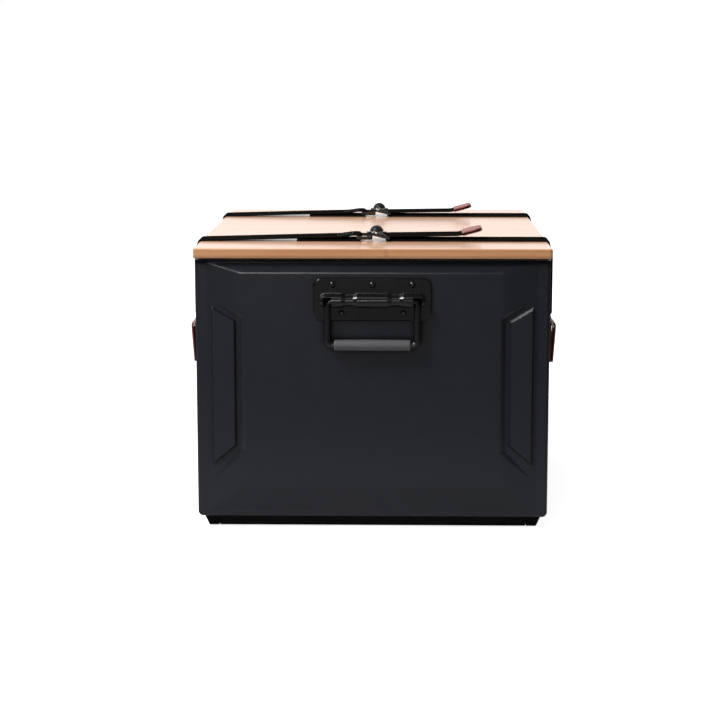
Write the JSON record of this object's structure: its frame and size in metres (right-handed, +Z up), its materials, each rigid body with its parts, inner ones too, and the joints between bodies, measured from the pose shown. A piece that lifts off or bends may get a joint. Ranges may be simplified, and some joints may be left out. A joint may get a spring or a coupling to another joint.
{
  "type": "camping box",
  "caption": "Aluminium camping storage box with a lift-off bamboo lid held by buckled webbing straps, drop handles at both ends and corner feet.",
  "frame": {"origin": "middle of the footprint, on the ground under the feet", "axes": "+X to the right of the front end, +Y from the front end to the rear, +Z up"},
  "size_m": [0.4174, 0.534, 0.333],
  "materials": {
    "coated_aluminium": "matt dark grey powder coat",
    "bare_aluminium": "satin",
    "gasket_rubber": "matt",
    "foot_plastic": "fine grain",
    "zinc_screws": "zinc plated",
    "bamboo": "clear satin lacquer",
    "handle_steel": "glossy black",
    "black_rivets": "semi-gloss black",
    "grip_rubber": "satin",
    "webbing": "ribbed weave",
    "leather": "reddish brown",
    "buckle_steel": "satin black",
    "bright_steel": "polished"
  },
  "bodies": {
    "box": {"front_end_panel": "coated_aluminium", "rear_end_panel": "coated_aluminium", "left_side_panel": "coated_aluminium", "right_side_panel": "coated_aluminium", "floor_pan": "bare_aluminium", "corner_posts": "bare_aluminium", "rim_frame": "bare_aluminium", "rim_gasket": "gasket_rubber", "foot_screws": "zinc_screws", "plinth_rails": "foot_plastic", "foot_front_left": "foot_plastic", "foot_front_right": "foot_plastic", "foot_rear_left": "foot_plastic", "foot_rear_right": "foot_plastic", "catch_rivets": "bright_steel", "front_handle_plate": "handle_steel", "front_handle_rivets": "black_rivets", "front_handle_backing": "bare_aluminium", "front_left_catch": "bright_steel", "front_right_catch": "bright_steel", "rear_handle_plate": "handle_steel", "rear_handle_rivets": "black_rivets", "rear_handle_backing": "bare_aluminium", "rear_left_catch": "bright_steel", "rear_right_catch": "bright_steel"},
    "lid": {"lid_board": "bamboo", "lid_cleats": "bamboo", "lid_cleat_screws": "zinc_screws", "front_strap_left": "webbing", "front_strap_right": "webbing", "front_strap_ring": "buckle_steel", "front_strap_tip": "leather", "rear_strap_left": "webbing", "rear_strap_right": "webbing", "rear_strap_ring": "buckle_steel", "rear_strap_tip": "leather"},
    "front_bail": {"front_handle_bail": "handle_steel", "front_handle_grip": "grip_rubber"},
    "front_buckle": {"front_buckle_plate": "buckle_steel", "front_buckle_knob": "buckle_steel", "front_buckle_collar": "bright_steel"},
    "front_left_hook": {"front_left_hook": "bright_steel", "front_left_pull": "leather"},
    "front_right_hook": {"front_right_hook": "bright_steel", "front_right_pull": "leather"},
    "rear_bail": {"rear_handle_bail": "handle_steel", "rear_handle_grip": "grip_rubber"},
    "rear_buckle": {"rear_buckle_plate": "buckle_steel", "rear_buckle_knob": "buckle_steel", "rear_buckle_collar": "bright_steel"},
    "rear_left_hook": {"rear_left_hook": "bright_steel", "rear_left_pull": "leather"},
    "rear_right_hook": {"rear_right_hook": "bright_steel", "rear_right_pull": "leather"}
  },
  "joints": [
    {"name": "lid_lift", "type": "slide", "parent": "box", "child": "lid", "axis": [0, 0, 1], "range_m": [0, 0.25]},
    {"name": "front_bail_swing", "type": "hinge", "parent": "box", "child": "front_bail", "pos_m": [0, -0.2592, 0.2592], "axis": [-1, 0, 0], "range_deg": [0, 90]},
    {"name": "front_buckle_lift", "type": "hinge", "parent": "lid", "child": "front_buckle", "pos_m": [0.017, -0.158, 0.31975], "axis": [0, 1, 0], "range_deg": [0, 70]},
    {"name": "front_left_hook_swing", "type": "hinge", "parent": "lid", "child": "front_left_hook", "pos_m": [-0.20005, -0.158, 0.236], "axis": [0, 1, 0], "range_deg": [0, 75]},
    {"name": "front_right_hook_swing", "type": "hinge", "parent": "lid", "child": "front_right_hook", "pos_m": [0.20005, -0.158, 0.236], "axis": [0, -1, 0], "range_deg": [0, 75]},
    {"name": "rear_bail_swing", "type": "hinge", "parent": "box", "child": "rear_bail", "pos_m": [0, 0.2592, 0.2592], "axis": [1, 0, 0], "range_deg": [0, 90]},
    {"name": "rear_buckle_lift", "type": "hinge", "parent": "lid", "child": "rear_buckle", "pos_m": [0.017, 0.158, 0.31975], "axis": [0, 1, 0], "range_deg": [0, 70]},
    {"name": "rear_left_hook_swing", "type": "hinge", "parent": "lid", "child": "rear_left_hook", "pos_m": [-0.20005, 0.158, 0.236], "axis": [0, 1, 0], "range_deg": [0, 75]},
    {"name": "rear_right_hook_swing", "type": "hinge", "parent": "lid", "child": "rear_right_hook", "pos_m": [0.20005, 0.158, 0.236], "axis": [0, -1, 0], "range_deg": [0, 75]}
  ]
}
